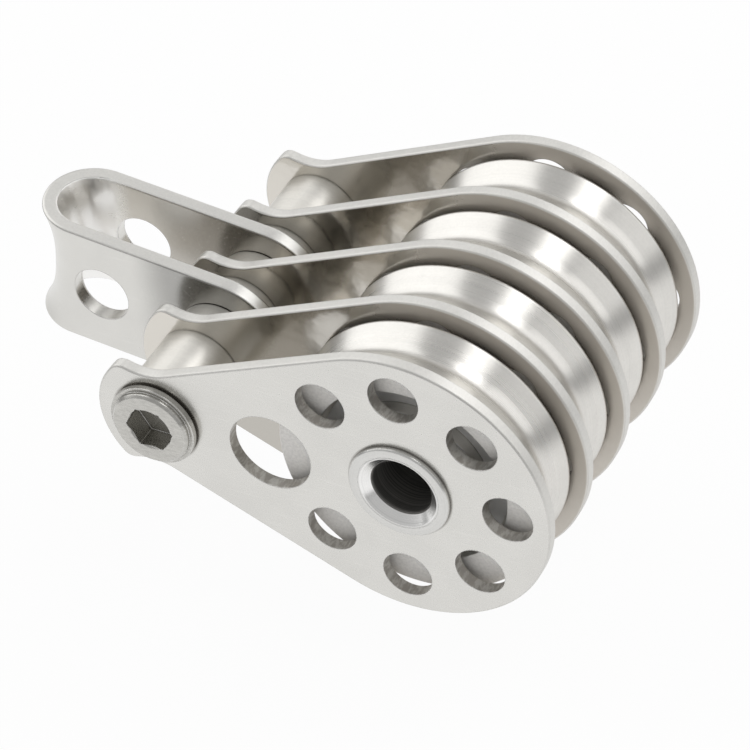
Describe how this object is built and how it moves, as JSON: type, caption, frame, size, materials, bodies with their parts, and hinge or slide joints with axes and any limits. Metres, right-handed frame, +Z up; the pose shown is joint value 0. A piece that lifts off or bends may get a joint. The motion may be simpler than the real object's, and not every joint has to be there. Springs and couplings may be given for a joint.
{
  "type": "quadruple block",
  "caption": "Ship block with grooved sheaves side by side on one hollow axle between pear-shaped steel cheek plates, with a swinging U-shaped strap at its head.",
  "frame": {"origin": "centre of the hollow axle's bore, halfway across the stack of plates", "axes": "+Y along the axle, from the near cheek plate to the far one; -X towards the head and the strap; +Z up"},
  "size_m": [0.0869, 0.0532, 0.0414],
  "materials": {
    "cheek_steel": "satin stainless steel, fine grain, ground edges",
    "sheave_steel": "finely turned stainless steel, bright flanks",
    "bush_bronze": "plain bronze, machined",
    "sleeve_steel": "turned stainless steel",
    "axle_steel": "turned and polished stainless steel",
    "bolt_steel": "bright stainless steel, slightly worn",
    "spacer_steel": "turned stainless steel tube",
    "strap_steel": "satin stainless steel outside, brighter inside"
  },
  "bodies": {
    "frame": {"cheek_plate_1": "cheek_steel", "cheek_plate_2": "cheek_steel", "cheek_plate_3": "cheek_steel", "cheek_plate_4": "cheek_steel", "cheek_plate_5": "cheek_steel", "bearing_sleeve_1": "sleeve_steel", "bearing_sleeve_2": "sleeve_steel", "bearing_sleeve_3": "sleeve_steel", "bearing_sleeve_4": "sleeve_steel", "axle_tube": "axle_steel", "axle_ring_near": "axle_steel", "axle_ring_far": "axle_steel", "head_bolt": "bolt_steel", "barrel_nut": "bolt_steel", "outer_spacer_near": "spacer_steel", "outer_spacer_far": "spacer_steel", "strap_spacer_1": "spacer_steel", "strap_spacer_2": "spacer_steel", "strap_spacer_3": "spacer_steel", "strap_spacer_4": "spacer_steel"},
    "sheave_1_turning": {"sheave_1": "sheave_steel", "sheave_bush_1": "bush_bronze"},
    "sheave_2_turning": {"sheave_2": "sheave_steel", "sheave_bush_2": "bush_bronze"},
    "sheave_3_turning": {"sheave_3": "sheave_steel", "sheave_bush_3": "bush_bronze"},
    "sheave_4_turning": {"sheave_4": "sheave_steel", "sheave_bush_4": "bush_bronze"},
    "strap_swinging": {"strap": "strap_steel"}
  },
  "joints": [
    {"name": "sheave_1_spin", "type": "hinge", "parent": "frame", "child": "sheave_1_turning", "pos_m": [0, -0.01777, 0], "axis": [0, 1, 0], "continuous": true},
    {"name": "sheave_2_spin", "type": "hinge", "parent": "frame", "child": "sheave_2_turning", "pos_m": [0, -0.00592, 0], "axis": [0, 1, 0], "continuous": true},
    {"name": "sheave_3_spin", "type": "hinge", "parent": "frame", "child": "sheave_3_turning", "pos_m": [0, 0.00592, 0], "axis": [0, 1, 0], "continuous": true},
    {"name": "sheave_4_spin", "type": "hinge", "parent": "frame", "child": "sheave_4_turning", "pos_m": [0, 0.01777, 0], "axis": [0, 1, 0], "continuous": true},
    {"name": "strap_swing", "type": "hinge", "parent": "frame", "child": "strap_swinging", "pos_m": [-0.0353, 0, 0], "axis": [0, 1, 0], "range_deg": [-122, 108]}
  ]
}
